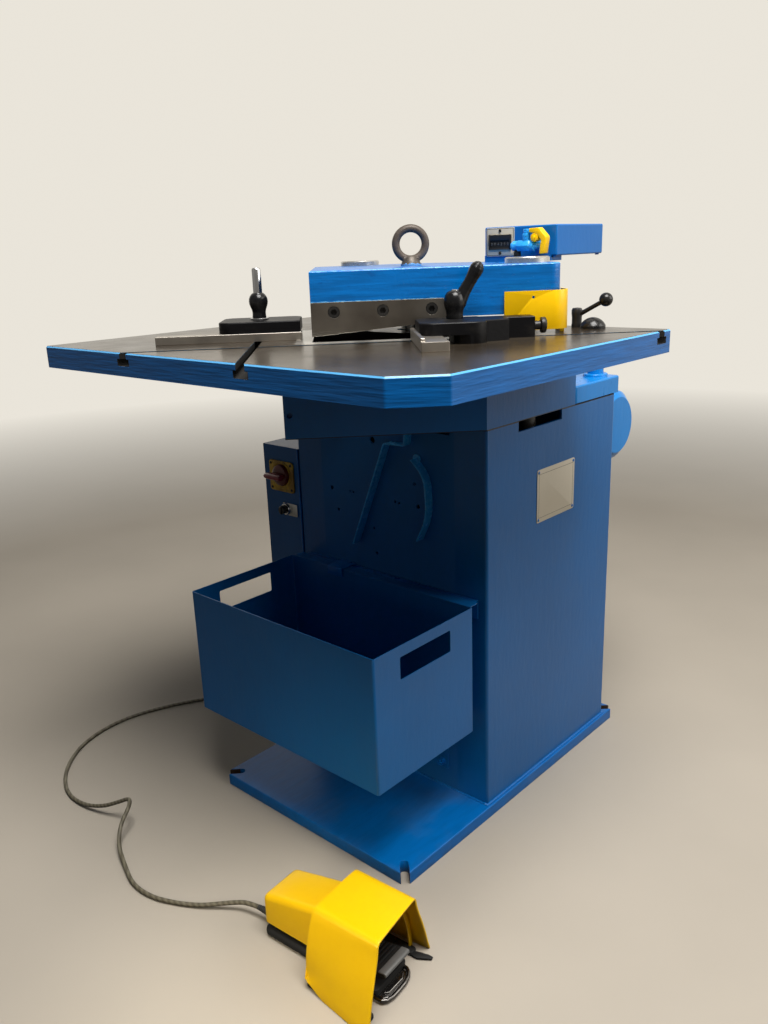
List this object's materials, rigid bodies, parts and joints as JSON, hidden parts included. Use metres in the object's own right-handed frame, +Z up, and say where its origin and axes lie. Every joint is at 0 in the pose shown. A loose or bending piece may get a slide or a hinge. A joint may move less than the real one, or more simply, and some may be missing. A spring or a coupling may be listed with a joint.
{
  "type": "hydraulic corner notcher",
  "caption": "Hydraulic corner notcher: blades on a guided ram cut sheet corners on a slotted table with sliding stops; column, scrap bin, cabinet and foot switch.",
  "frame": {"origin": "on the floor, under the punch centre line, in the plane of the column's front face", "axes": "+Z up, +X to the operator's right, +Y from the operator to the back of the machine"},
  "size_m": [1.1304, 1.2148, 1.146],
  "materials": {
    "blue_enamel": "gloss",
    "table_steel": "satin",
    "blade_steel": "ground",
    "bright_steel": "polished",
    "black_steel": "satin",
    "bronze": "satin",
    "yellow_paint": "gloss",
    "yellow_plastic": "gloss",
    "red_plastic": "gloss",
    "black_plastic": "satin",
    "plate_aluminium": "satin",
    "gasket_rubber": "matt",
    "cable_rubber": "matt"
  },
  "bodies": {
    "machine": {"base_plate": "blue_enamel", "column": "blue_enamel", "die_frame": "blue_enamel", "table": "table_steel", "lower_blade_left": "blade_steel", "lower_blade_right": "blade_steel", "guide_bushes": "bronze", "cylinder": "bright_steel", "tank": "blue_enamel", "lid_gasket": "gasket_rubber", "tank_lid": "blue_enamel", "motor_body": "blue_enamel", "motor_cowl": "blue_enamel", "pump": "blue_enamel", "cabinet": "blue_enamel", "cabinet_gland": "black_plastic", "contactor_plate": "black_plastic", "switch_plate": "yellow_plastic", "name_plate": "plate_aluminium", "scrap_strap": "blue_enamel", "scrap_band": "blue_enamel", "lower_cover": "blue_enamel", "cover_nuts": "bright_steel", "scrap_bin": "blue_enamel", "bin_rail": "blue_enamel", "side_guard": "yellow_paint", "foot_base": "black_steel", "foot_body": "yellow_paint", "foot_hood": "yellow_paint", "foot_gland": "black_plastic", "foot_cable": "cable_rubber"},
    "ram": {"ram": "blue_enamel", "upper_blade_left": "blade_steel", "upper_blade_right": "blade_steel", "blade_screws": "black_steel", "guide_columns": "bright_steel", "piston_rod": "bright_steel", "eyebolt": "black_steel", "counter_case": "blue_enamel", "counter_face": "plate_aluminium", "counter_window": "black_plastic", "valve_body": "blue_enamel"},
    "valve_lever": {"valve_handle": "yellow_paint"},
    "left_stop": {"left_fence": "blade_steel", "left_stop_plate": "black_steel", "left_tee_bolt": "black_steel"},
    "left_clamp": {"left_lever": "bright_steel"},
    "right_stop": {"right_fence": "blade_steel", "right_stop_plate": "black_steel", "right_tee_bolt": "black_steel"},
    "right_clamp": {"right_lever": "black_steel"},
    "fine_screw": {"adjust_screw": "black_steel"},
    "rear_clamp": {"rear_lever": "black_steel"},
    "knob": {"table_knob": "black_steel"},
    "main_switch": {"switch_knob": "red_plastic"},
    "key_switch": {"key_knob": "black_plastic"},
    "door": {"cabinet_door": "blue_enamel"},
    "treadle": {"foot_treadle": "plate_aluminium"},
    "cap": {"filler_cap": "blue_enamel"},
    "fan": {"motor_fan": "bright_steel"}
  },
  "joints": [
    {"name": "ram_stroke", "type": "slide", "parent": "machine", "child": "ram", "axis": [0, 0, -1], "range_m": [0, 0.03]},
    {"name": "valve_turn", "type": "hinge", "parent": "ram", "child": "valve_lever", "pos_m": [0.172, 0.238, 1.12], "axis": [0, 0, 1], "range_deg": [-90, 0]},
    {"name": "left_stop_slide", "type": "slide", "parent": "machine", "child": "left_stop", "axis": [-0.7071, 0.7071, 0], "range_m": [-0.05, 0.3]},
    {"name": "left_clamp_turn", "type": "hinge", "parent": "left_stop", "child": "left_clamp", "pos_m": [-0.15132, -0.16069, 1], "axis": [0, 0, 1], "range_deg": [-180, 180]},
    {"name": "right_stop_slide", "type": "slide", "parent": "machine", "child": "right_stop", "axis": [0.7071, 0.7071, 0], "range_m": [-0.12, 0.25]},
    {"name": "right_clamp_turn", "type": "hinge", "parent": "right_stop", "child": "right_clamp", "pos_m": [0.20506, -0.03058, 1], "axis": [0, 0, 1], "range_deg": [-120, 20]},
    {"name": "fine_screw_turn", "type": "hinge", "parent": "right_stop", "child": "fine_screw", "pos_m": [0.29698, 0.06842, 0.968], "axis": [0.7071, 0.7071, 0], "continuous": true},
    {"name": "rear_clamp_turn", "type": "hinge", "parent": "machine", "child": "rear_clamp", "pos_m": [0.286, 0.236, 0.96], "axis": [0, 0, 1], "range_deg": [-40, 120]},
    {"name": "knob_turn", "type": "hinge", "parent": "machine", "child": "knob", "pos_m": [0.324, 0.228, 0.955], "axis": [0, 0, 1], "range_deg": [-180, 180]},
    {"name": "main_switch_turn", "type": "hinge", "parent": "machine", "child": "main_switch", "pos_m": [-0.303, 0, 0.631], "axis": [0, 1, 0], "range_deg": [0, 90]},
    {"name": "key_turn", "type": "hinge", "parent": "machine", "child": "key_switch", "pos_m": [-0.297, 0, 0.553], "axis": [0, 1, 0], "range_deg": [0, 90]},
    {"name": "door_swing", "type": "hinge", "parent": "machine", "child": "door", "pos_m": [-0.3645, 0.23, 0.5], "axis": [0, 0, -1], "range_deg": [0, 110]},
    {"name": "treadle_press", "type": "hinge", "parent": "machine", "child": "treadle", "pos_m": [0.29942, -0.44475, 0.026], "axis": [-0.0872, 0.9962, 0], "range_deg": [0, 8], "stiffness_Nm_per_rad": 12, "springref_deg": -8.59},
    {"name": "cap_turn", "type": "hinge", "parent": "machine", "child": "cap", "pos_m": [0.213, 0.447, 0.84], "axis": [0, 0, 1], "continuous": true},
    {"name": "fan_spin", "type": "hinge", "parent": "machine", "child": "fan", "pos_m": [0, 0.556, 0.703], "axis": [1, 0, 0], "continuous": true}
  ]
}
